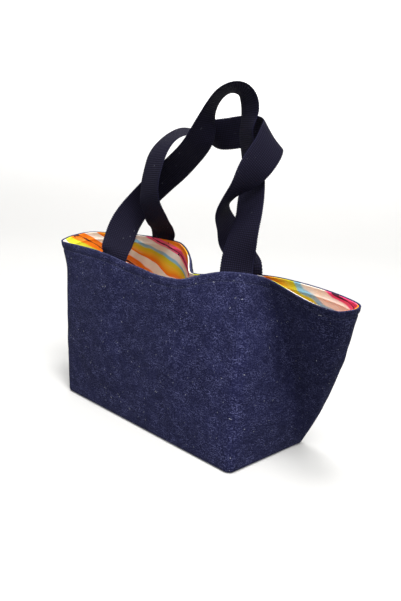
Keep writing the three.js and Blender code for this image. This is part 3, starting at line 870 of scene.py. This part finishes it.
def fill_fleck(nodes, given):
    """Short pale fibres on the cloth, each at its own turn, length, bend and strength."""
    place, scale = given["Place"], given["Scale"]
    cells = nodes.add("ShaderNodeTexVoronoi", {"Vector": place, "Scale": scale}).outputs
    chance = nodes.add("ShaderNodeSeparateColor", {0: cells["Color"]}).outputs
    offset = nodes.vector("SUBTRACT", place, cells["Position"])
    angle = nodes.times(nodes.minus(chance[1], 0.5), given["Turn"])
    turned = nodes.add("ShaderNodeVectorRotate", {"Vector": offset, "Angle": angle},
                       rotation_type="Z_AXIS").outputs[0]
    in_cells = nodes.add("ShaderNodeVectorMath", {0: turned, "Scale": scale}, operation="SCALE")
    near = nodes.parts(in_cells.outputs[0])
    bend = nodes.times(nodes.times(near[0], near[0]), 0.9)
    aside = nodes.calc("ABSOLUTE", nodes.minus(near[1], bend))
    half_length = nodes.between(chance[2], 0.0, 1.0, 0.1, 0.5)
    past_end = nodes.minus(nodes.calc("ABSOLUTE", near[0]), half_length)
    inside = nodes.between(past_end, 0.0, 0.1, 1.0, 0.0)
    thin = nodes.between(nodes.over(aside, given["Width"]), 0.5, 1.0, 1.0, 0.0)
    strength = nodes.between(nodes.over(chance[0], given["Amount"]), 0.0, 1.0, 1.0, 0.0)
    return nodes.times(nodes.times(thin, inside), strength)


def fill_rub_and_highlight(nodes, given):
    """Rubbed places and painted highlights: the edges and bands that the piece marks, broken up by
    the thread.
    """
    broken = nodes.cloud(given["Place"], 420.0, 2, 0.7)
    return nodes.times(given["Edge"], nodes.between(broken, 0.30, 0.62))


# Shader groups that the cloths share: name, inputs besides the place, output and filling
EFFECTS = (
    ("Weave", {"Across": 0.001, "Along": 0.001, "Twill": 0.0, "Looseness": 0.2}, "Height",
     fill_weave),
    ("Slub", {"Scale": 700.0}, "Share", fill_slub),
    ("Fleck", {"Scale": 160.0, "Amount": 0.1, "Width": 0.1, "Turn": FULL_TURN}, "Mask",
     fill_fleck),
    ("RubAndHighlight", {"Edge": 0.0}, "Mask", fill_rub_and_highlight),
)


def make_effect(name, inputs, output, fill):
    tree = bpy.data.node_groups.new(name, "ShaderNodeTree")
    face = tree.interface
    face.new_socket("Place", in_out="INPUT", socket_type="NodeSocketVector")
    for label, value in inputs.items():
        socket = face.new_socket(label, in_out="INPUT", socket_type="NodeSocketFloat")
        socket.default_value = value
    face.new_socket(output, in_out="OUTPUT", socket_type="NodeSocketFloat")
    nodes = Nodes(tree)
    given = nodes.add("NodeGroupInput").outputs
    nodes.add("NodeGroupOutput", {0: fill(nodes, given)})


class Cloth(Nodes):
    """A new material that reads the place on the flat cloth, or in the object where a piece has
    no flat cloth."""

    def __init__(self, name, flat=True):
        self.material = bpy.data.materials.new(name)
        self.material.use_nodes = True
        super().__init__(self.material.node_tree)
        if flat:
            self.place = self.add("ShaderNodeUVMap", uv_map="Cloth").outputs[0]
        else:
            self.place = self.add("ShaderNodeTexCoord").outputs["Object"]

    def effect(self, name, **values):
        values = {"Place": self.place, **values}
        tree = bpy.data.node_groups[name]
        return self.add("ShaderNodeGroup", values, node_tree=tree).outputs[0]

    def rub_and_highlight(self):
        # Mask of the rubbed edges, with the painted highlight that the denim marks above its
        # topstitching
        edge = self.add("ShaderNodeAttribute", attribute_name="wear_and_highlight").outputs["Fac"]
        return self.effect("RubAndHighlight", Edge=edge)

    def bump(self, height, strength, distance):
        values = {"Height": height, "Strength": strength, "Distance": distance}
        return self.add("ShaderNodeBump", values).outputs[0]

    def finish(self, shade, rough, **values):
        """Sets or links the shader's inputs, named with low lines for spaces."""
        named = {key.replace("_", " "): value for key, value in values.items()}
        named.update({"Base Color": shade, "Roughness": rough})
        self.fill(self.tree.nodes["Principled BSDF"], named)
        return self.material


def denim_cloth(colours):
    cloth = Cloth("indigo_denim")
    slub = cloth.effect("Slub", Scale=620.0)
    weave = cloth.effect("Weave", Across=0.0011, Along=0.0016, Twill=0.85, Looseness=0.5)
    coarse = cloth.effect("Fleck", Scale=370.0, Amount=1.1, Width=0.20, Turn=0.9)
    fine = cloth.effect("Fleck", Scale=600.0, Amount=1.1, Width=0.26)
    lint = cloth.effect("Fleck", Scale=430.0, Amount=0.014, Width=0.15)
    fade = cloth.between(cloth.cloud(cloth.place, 16.0, 4, 0.6), 0.32, 0.70)
    patches = cloth.between(cloth.cloud(cloth.place, 75.0, 2, 0.6), 0.36, 0.66, 0.35, 1.0)
    pale = cloth.times_plus(weave, 0.12, cloth.times(slub, 0.5))
    pale = cloth.times(pale, cloth.between(fade, 0.0, 1.0, 0.55, 1.05))
    flecks = cloth.times(cloth.calc("MAXIMUM", coarse, fine), patches)
    shade = cloth.mix(pale, colours.denim, colours.denim_pale)
    shade = cloth.mix(cloth.times(flecks, 0.85), shade, colours.denim_worn_and_highlight)
    # Pale rubbed edges, and the painted highlight in the band just above the topstitching
    shade = cloth.mix(cloth.times(cloth.rub_and_highlight(), 0.5), shade, colours.denim_worn_and_highlight)
    shade = cloth.mix(cloth.times(lint, 0.55), shade, colours.lint)
    height = cloth.times_plus(slub, 0.8, cloth.times(weave, 0.5))
    height = cloth.times_plus(flecks, 0.5, height)
    return cloth.finish(
        shade, cloth.between(slub, 0.0, 1.0, 0.98, 0.88), Normal=cloth.bump(height, 0.55, 0.0006),
        Specular_IOR_Level=0.08, Sheen_Weight=0.02, Sheen_Roughness=0.45,
        Sheen_Tint=(0.55, 0.62, 0.85, 1))


def webbing_cloth(colours, rib_pitch):
    cloth = Cloth("navy_webbing")
    weave = cloth.effect("Weave", Across=rib_pitch * 2, Along=rib_pitch * 2, Looseness=0.12)
    fine = cloth.effect("Weave", Across=0.0013, Along=rib_pitch, Looseness=0.1)
    lint = cloth.effect("Fleck", Scale=430.0, Amount=0.006, Width=0.16)
    raised = cloth.times(cloth.calc("ABSOLUTE", cloth.minus(weave, 0.5)), 2.0)
    threads = cloth.times_plus(raised, 0.6, cloth.times(fine, 0.25))
    shade = cloth.mix(threads, colours.webbing, colours.webbing_pale)
    shade = cloth.mix(cloth.times(cloth.rub_and_highlight(), 0.15), shade, colours.denim_pale)
    shade = cloth.mix(cloth.times(lint, 0.3), shade, colours.lint)
    return cloth.finish(
        shade, cloth.between(raised, 0.0, 1.0, 0.80, 0.62),
        Normal=cloth.bump(threads, 0.8, 0.0008), Specular_IOR_Level=0.05)


# The print: the repeats, slant and sway of its stripes, the shade between its threads, and where
# each colour starts or ends across one repeat
PRINT_REPEAT, PINSTRIPE_REPEAT = 0.118, 0.059
PRINT_SLANT, PRINT_SWAY = math.radians(62), (0.030, 0.0, 0.0)
WEAVE_SHADOW = (0.25, 0.12, 0.05)
PRINT_STOPS = (
    (0.00, "cream"), (0.10, "cream"), (0.112, "orange"), (0.24, "orange"), (0.25, "lime"),
    (0.35, "lime"), (0.36, "cream"), (0.48, "cream"), (0.495, "gold"), (0.55, "orange"),
    (0.62, "orange"), (0.63, "pink"), (0.72, "pink"), (0.732, "cream"), (0.81, "cream"),
    (0.822, "sky"), (0.85, "sky"), (0.862, "lime"), (0.93, "gold"), (0.98, "orange"),
)


def printed_cotton(colours):
    """Cotton printed with soft wavy stripes of uneven width and thin dark pinstripes."""
    cloth = Cloth("striped_cotton")
    slant = {"Vector": cloth.place, "Rotation": (0, 0, PRINT_SLANT)}
    turned = cloth.add("ShaderNodeMapping", slant).outputs[0]
    waves = {"Vector": turned, "Scale": 17.0, "Detail": 2.0}
    sway = cloth.add("ShaderNodeTexNoise", waves).outputs["Color"]
    moved = cloth.vector("ADD", turned, cloth.vector("MULTIPLY", sway, PRINT_SWAY))
    stripe = cloth.parts(moved)[0]
    bands = cloth.add(
        "ShaderNodeValToRGB", {0: cloth.calc("FRACT", cloth.over(stripe, PRINT_REPEAT))})
    stops = bands.color_ramp.elements
    stops.remove(stops[-1])
    for position, name in PRINT_STOPS:
        stop = stops.new(position) if position else stops[0]
        stop.position = position
        stop.color = (*getattr(colours, name), 1)
    brush = cloth.cloud(cloth.vector("MULTIPLY", moved, (1.0, 0.12, 1.0)), 190.0, 4, 0.65)
    wash = cloth.cloud(moved, 34.0, 3, 0.6)
    shade = bands.outputs[0]
    shade = cloth.mix(cloth.between(brush, 0.50, 0.78, 0.0, 0.24), shade, colours.cream)
    shade = cloth.mix(cloth.between(wash, 0.48, 0.75, 0.0, 0.22), shade, colours.gold)
    turn = cloth.calc("FRACT", cloth.times_plus(stripe, 1 / PINSTRIPE_REPEAT, 0.13))
    gap = cloth.calc("ABSOLUTE", cloth.minus(turn, 0.5))
    width = cloth.between(cloth.cloud(moved, 70.0, 2), 0.35, 0.65, 0.006, 0.030)
    blots = cloth.between(cloth.cloud(moved, 95.0, 1), 0.66, 0.78, 0.0, 0.10)
    inked = cloth.calc("LESS_THAN", gap, cloth.plus(width, blots))
    shade = cloth.mix(cloth.times(inked, 0.92), shade, colours.ink)
    weave = cloth.effect("Weave", Across=0.0006, Along=0.0006)
    shade = cloth.mix(cloth.between(weave, 0.0, 1.0, 0.05, 0.0), shade, WEAVE_SHADOW)
    return cloth.finish(
        shade, cloth.between(weave, 0.0, 1.0, 0.85, 0.74),
        Normal=cloth.bump(weave, 0.25, 0.0003), Specular_IOR_Level=0.15)


def plain_sheet(name, shade, scale, strength):
    """Felted or pressed sheet: short fibres over one shade."""
    cloth = Cloth(name)
    fibre = cloth.effect("Slub", Scale=scale)
    lint = cloth.effect("Fleck", Scale=220.0, Amount=0.4, Width=0.08)
    mixed = cloth.mix(fibre, [0.72 * value for value in shade], shade)
    mixed = cloth.mix(cloth.times(lint, 0.3), mixed, shade)
    return cloth.finish(
        mixed, cloth.between(fibre, 0.0, 1.0, 0.95, 0.8),
        Normal=cloth.bump(fibre, strength, 0.0005))


def sewing_thread(colours):
    """Twisted thread. A stitch has no flat cloth."""
    cloth = Cloth("sewing_thread", flat=False)
    twist = cloth.effect("Weave", Across=0.0005, Along=0.0005, Twill=1.0, Looseness=0.3)
    shade = cloth.mix(twist, colours.thread, [1.9 * value for value in colours.thread])
    return cloth.finish(
        shade, cloth.between(twist, 0.0, 1.0, 0.7, 0.5), Normal=cloth.bump(twist, 0.5, 0.0002))


def stitch_tree(material):
    """Stitches laid along a line of points that carry the face's normal."""
    tree = bpy.data.node_groups.new("Topstitch", "GeometryNodeTree")
    for label, way, kind in (("Line", "INPUT", "Geometry"), ("Pitch", "INPUT", "Float"),
                             ("Thread", "INPUT", "Float"), ("Stitches", "OUTPUT", "Geometry")):
        tree.interface.new_socket(label, in_out=way, socket_type="NodeSocket" + kind)
    nodes = Nodes(tree)

    def result(kind, values=None, **settings):
        return nodes.add(kind, values, **settings).outputs[0]
    given = nodes.add("NodeGroupInput").outputs
    curve = result("GeometryNodeMeshToCurve", {"Mesh": given["Line"]})
    spaced = result(
        "GeometryNodeResampleCurve", {"Curve": curve, "Length": given["Pitch"]}, mode="LENGTH")
    tangent = result("GeometryNodeInputTangent")
    normal = result(
        "GeometryNodeInputNamedAttribute", {"Name": "face_normal"}, data_type="FLOAT_VECTOR")
    lie = result("FunctionNodeAlignRotationToVector", {"Vector": tangent}, axis="X")
    stand = result("FunctionNodeAlignRotationToVector", {"Rotation": lie, "Vector": normal},
                   axis="Z", pivot_axis="X")
    bead = result("GeometryNodeMeshUVSphere", {"Segments": 8, "Rings": 7, "Radius": 1.0})
    half = nodes.times(given["Thread"], 0.5)
    reach = nodes.times(given["Pitch"], STITCH_HALF_SHARE)
    size = result("ShaderNodeCombineXYZ", {0: reach, 1: half, 2: half})
    stitch = result("GeometryNodeTransform", {"Geometry": bead, "Scale": size})
    laid = result("GeometryNodeInstanceOnPoints", {
        "Points": spaced, "Instance": stitch, "Rotation": stand})
    real = result("GeometryNodeRealizeInstances", {0: laid})
    smooth = result("GeometryNodeSetShadeSmooth", {0: real})
    dyed = result("GeometryNodeSetMaterial", {"Geometry": smooth, "Material": material})
    nodes.add("NodeGroupOutput", {0: dyed})
    return tree


def stitched_mesh(bag, name, side, tree):
    """Runs the stitch tree along the rim and keeps the result as a plain mesh."""
    place = bag.columns(side, STITCH_COLUMNS)[STITCH_MARGIN:-STITCH_MARGIN]
    height = (bag.rim(place)[:, 2] - bag.sizes.stitch_drop)[None]
    points = bag.wall(place, height, np.full(height.shape, THREAD_DEPTH))[0]
    normal = -bag.inward(place, height)[0]
    mesh = mesh_of(name + "_line", points, edges=[(i, i + 1) for i in range(len(points) - 1)])
    carried = mesh.attributes.new("face_normal", "FLOAT_VECTOR", "POINT")
    carried.data.foreach_set("vector", normal.astype(np.float32).ravel())
    line = placed(name + "_line", mesh)
    modifier = line.modifiers.new("Stitches", "NODES")
    modifier.node_group = tree
    sizes = {"Pitch": bag.sizes.stitch_pitch, "Thread": bag.sizes.thread}
    for socket in tree.interface.items_tree:
        if socket.in_out == "INPUT" and socket.name in sizes:
            modifier[socket.identifier] = sizes[socket.name]
    graph = bpy.context.evaluated_depsgraph_get()
    made = bpy.data.meshes.new_from_object(line.evaluated_get(graph))
    made.name = name
    bpy.data.objects.remove(line)
    bpy.data.meshes.remove(mesh)
    return made


class MakingStep:
    """A step of the making, which reads the scene's sizes and colours."""

    def execute(self, context):
        self.make(Bag(context.scene.tote_sizes), context.scene.tote_colours)
        return {"FINISHED"}


class TOTE_OT_effects(MakingStep, bpy.types.Operator):
    """Make the shader effects that the cloths share"""

    bl_idname = "tote.effects"
    bl_label = "Cloth Effects"

    def make(self, bag, colours):
        for row in EFFECTS:
            make_effect(*row)


class TOTE_OT_denim(MakingStep, bpy.types.Operator):
    """Make the denim walls and the denim base"""

    bl_idname = "tote.denim"
    bl_label = "Denim Shell"

    def make(self, bag, colours):
        denim = denim_cloth(colours)
        thick = bag.sizes.denim
        for label, side in SIDES:
            name = f"denim_{label}"
            made = piece(name, denim_panel(bag, side, name), denim)
            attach(made, "bag")
            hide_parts(f"{label}_panel")
        mesh = base_sheet(bag, "denim_base", thick + LAYER_GAP + BASE_INSET, 0, thick)
        base = piece("denim_base", mesh, denim)
        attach(base, "bag")
        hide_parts("base_panel")


class TOTE_OT_stiffening(MakingStep, bpy.types.Operator):
    """Make the hidden interlining and the base board"""

    bl_idname = "tote.stiffening"
    bl_label = "Stiffening"

    def make(self, bag, colours):
        sizes = bag.sizes
        felt = plain_sheet("pressed_interlining", colours.interlining, 420.0, 0.5)
        for label, side in SIDES:
            name = f"interlining_{label}"
            made = piece(name, interlining_panel(bag, side, name), felt)
            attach(made, "bag")
            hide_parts(f"{label}_interlining")
        board = plain_sheet("grey_board", colours.board, 300.0, 0.3)
        inset = sizes.denim + sizes.interlining + 2 * LAYER_GAP
        mesh = base_sheet(bag, "board_in_base", inset, sizes.denim + LAYER_GAP, sizes.board)
        made = piece("board_in_base", mesh, board)
        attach(made, "bag")
        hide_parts("base_board")


class TOTE_OT_lining(MakingStep, bpy.types.Operator):
    """Make the printed lining of the walls and the floor"""

    bl_idname = "tote.lining"
    bl_label = "Printed Lining"

    def make(self, bag, colours):
        sizes = bag.sizes
        cotton = printed_cotton(colours)
        for label, side in SIDES:
            name = f"lining_{label}_cloth"
            made = piece(name, lining_panel(bag, side, name), cotton)
            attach(made, "bag")
            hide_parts(f"{label}_lining")
        floor = sizes.denim + sizes.board + 2 * LAYER_GAP
        mesh = base_sheet(bag, "lining_floor_cloth", bag.lining_depth + LAYER_GAP, floor,
                          sizes.lining, DIMPLE_DEPTH)
        made = piece("lining_floor_cloth", mesh, cotton)
        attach(made, "bag")
        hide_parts("base_lining")


class TOTE_OT_topstitch(MakingStep, bpy.types.Operator):
    """Lay the topstitches round the rim"""

    bl_idname = "tote.topstitch"
    bl_label = "Topstitching"

    def make(self, bag, colours):
        thread = sewing_thread(colours)
        tree = stitch_tree(thread)
        for label, side in SIDES:
            name = f"topstitch_{label}"
            made = piece(name, stitched_mesh(bag, name, side, tree), thread)
            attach(made, "bag")
            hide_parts(f"{label}_rim_topstitch")


class TOTE_OT_handles(MakingStep, bpy.types.Operator):
    """Make the webbing handles, each sewn in at its two tails"""

    bl_idname = "tote.handles"
    bl_label = "Webbing Handles"

    def make(self, bag, colours):
        sizes = bag.sizes
        webbing = webbing_cloth(colours, sizes.rib_pitch)
        for (label, side), route in zip(SIDES, (FRONT_STRAP_ROUTE, BACK_STRAP_ROUTE)):
            name = f"handle_{label}"
            mesh, length = strap_mesh(bag, name, side, route)
            made = piece(name, mesh, webbing)
            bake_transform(made)
            tails = [f"{label}_strap_left_tail", f"{label}_strap_right_tail"]
            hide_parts(f"{label}_strap", *tails)


# The camera stands where the photograph was taken, measured from the base corners
CAMERA_PLACE = (0.63299, -0.61228, 0.39426)
CAMERA_RIGHT = (0.698933, 0.712894, 0.057218)
CAMERA_UP = (-0.22858, 0.146861, 0.962384)
CAMERA_LENS, CAMERA_SENSOR = 44.93, 36.0

# Name, place, size and power of each soft light. All are aimed at the bag.
LIGHTS = (
    ("softbox", (1.6, -1.1, 3.3), 1.9, 165),
    ("top_fill", (0.2, -0.15, 3.2), 1.0, 60),
    ("back_fill", (-1.5, 2.1, 2.2), 1.6, 45),
)
LIGHT_TARGET = (0, 0, 0.15)
WORLD_STRENGTH = 0.56

# The floor runs level away from the camera, then curves up with a radius of one metre. It glows
# more with its height, from the first level to the second.
FLOOR_LEVEL = -0.0004
FLOOR_START, SWEEP_START, SWEEP_TOP = -4.0, 1.2, 4.0
FLOOR_HALF_WIDTH = 5.0
FLOOR_WAYS = np.array([(-0.703, 0.711), (0.711, 0.703)])
FLOOR_GLOW_LEVELS, FLOOR_GLOW = (0.0, 0.5), (0.08, 0.8)
FLOOR_MOTTLE, FLOOR_MOTTLE_SCALE = 0.985, 5.0


class TOTE_OT_stage(MakingStep, bpy.types.Operator):
    """Make the pale floor, the soft lights and the camera"""

    bl_idname = "tote.stage"
    bl_label = "Studio Stage"

    def make(self, bag, colours):
        scene = bpy.context.scene
        floor = self.floor(colours)
        for row in LIGHTS:
            self.light(*row)
        self.world(scene)
        self.camera(scene)
        scene.view_settings.view_transform = "Standard"

    def floor(self, colours):
        profile = [(FLOOR_START, FLOOR_LEVEL), (SWEEP_START, FLOOR_LEVEL)]
        for degrees in range(0, 91, 6):
            turn = math.radians(degrees)
            profile.append((SWEEP_START + math.sin(turn), 1 - math.cos(turn) + FLOOR_LEVEL))
        profile.append((SWEEP_START + 1, SWEEP_TOP))
        points = [
            (*(FLOOR_WAYS[0] * distance + FLOOR_WAYS[1] * across), height)
            for distance, height in profile for across in (-FLOOR_HALF_WIDTH, FLOOR_HALF_WIDTH)
        ]
        faces = [(i, i + 1, i + 3, i + 2) for i in range(0, len(points) - 2, 2)]
        mesh = mesh_of("studio_floor", points, faces)
        mesh.shade_smooth()
        paint = Cloth("pale_floor", flat=False)
        darker = [FLOOR_MOTTLE * value for value in colours.floor]
        mottle = paint.cloud(paint.place, FLOOR_MOTTLE_SCALE)
        shade = paint.mix(mottle, darker, colours.floor)
        glow = paint.between(paint.parts(paint.place)[2], *FLOOR_GLOW_LEVELS, *FLOOR_GLOW)
        mesh.materials.append(
            paint.finish(shade, 0.9, Emission_Color=glow, Emission_Strength=1.0))
        made = placed("studio_floor", mesh)
        made.visible_diffuse = False
        return made

    def light(self, name, place, size, power):
        data = bpy.data.lights.new(name, "AREA")
        data.shape = "DISK"
        data.size = size
        data.energy = power
        made = placed(name, data)
        made.location = place
        way = Vector(LIGHT_TARGET) - Vector(place)
        made.rotation_euler = way.to_track_quat("-Z", "Y").to_euler()

    def world(self, scene):
        world = bpy.data.worlds.new("soft_white")
        world.use_nodes = True
        values = {"Color": (1.0, 1.0, 1.0, 1), "Strength": WORLD_STRENGTH}
        Nodes(world.node_tree).fill(world.node_tree.nodes["Background"], values)
        scene.world = world

    def camera(self, scene):
        data = bpy.data.cameras.new("photo_camera")
        data.lens = CAMERA_LENS
        data.sensor_width = CAMERA_SENSOR
        made = placed("photo_camera", data)
        right, up = Vector(CAMERA_RIGHT), Vector(CAMERA_UP)
        turn = Matrix((right, up, right.cross(up))).transposed().to_4x4()
        made.matrix_world = Matrix.Translation(CAMERA_PLACE) @ turn
        scene.camera = made


OPERATORS = (
    TOTE_OT_stage, TOTE_OT_effects, TOTE_OT_denim, TOTE_OT_stiffening, TOTE_OT_lining,
    TOTE_OT_topstitch, TOTE_OT_handles,
)


class TOTE_PT_panel(bpy.types.Panel):
    """The bag's sizes, colours and making steps"""

    bl_idname = "TOTE_PT_panel"
    bl_label = "Denim Tote Bag"
    bl_space_type = "VIEW_3D"
    bl_region_type = "UI"
    bl_category = "Tote"

    def draw(self, context):
        for group in (context.scene.tote_sizes, context.scene.tote_colours):
            box = self.layout.box()
            for key in group.__annotations__:
                box.prop(group, key)
        for step in OPERATORS:
            self.layout.operator(step.bl_idname)


CLASSES = (ToteSizes, ToteColours, *OPERATORS, TOTE_PT_panel)


def register():
    for item in CLASSES:
        bpy.utils.register_class(item)
    bpy.types.Scene.tote_sizes = bpy.props.PointerProperty(type=ToteSizes)
    bpy.types.Scene.tote_colours = bpy.props.PointerProperty(type=ToteColours)


def unregister():
    del bpy.types.Scene.tote_colours
    del bpy.types.Scene.tote_sizes
    for item in reversed(CLASSES):
        bpy.utils.unregister_class(item)


def main():
    register()
    for step in OPERATORS:
        group, name = step.bl_idname.split(".")
        getattr(getattr(bpy.ops, group), name)()


if __name__ == "__main__":
    main()
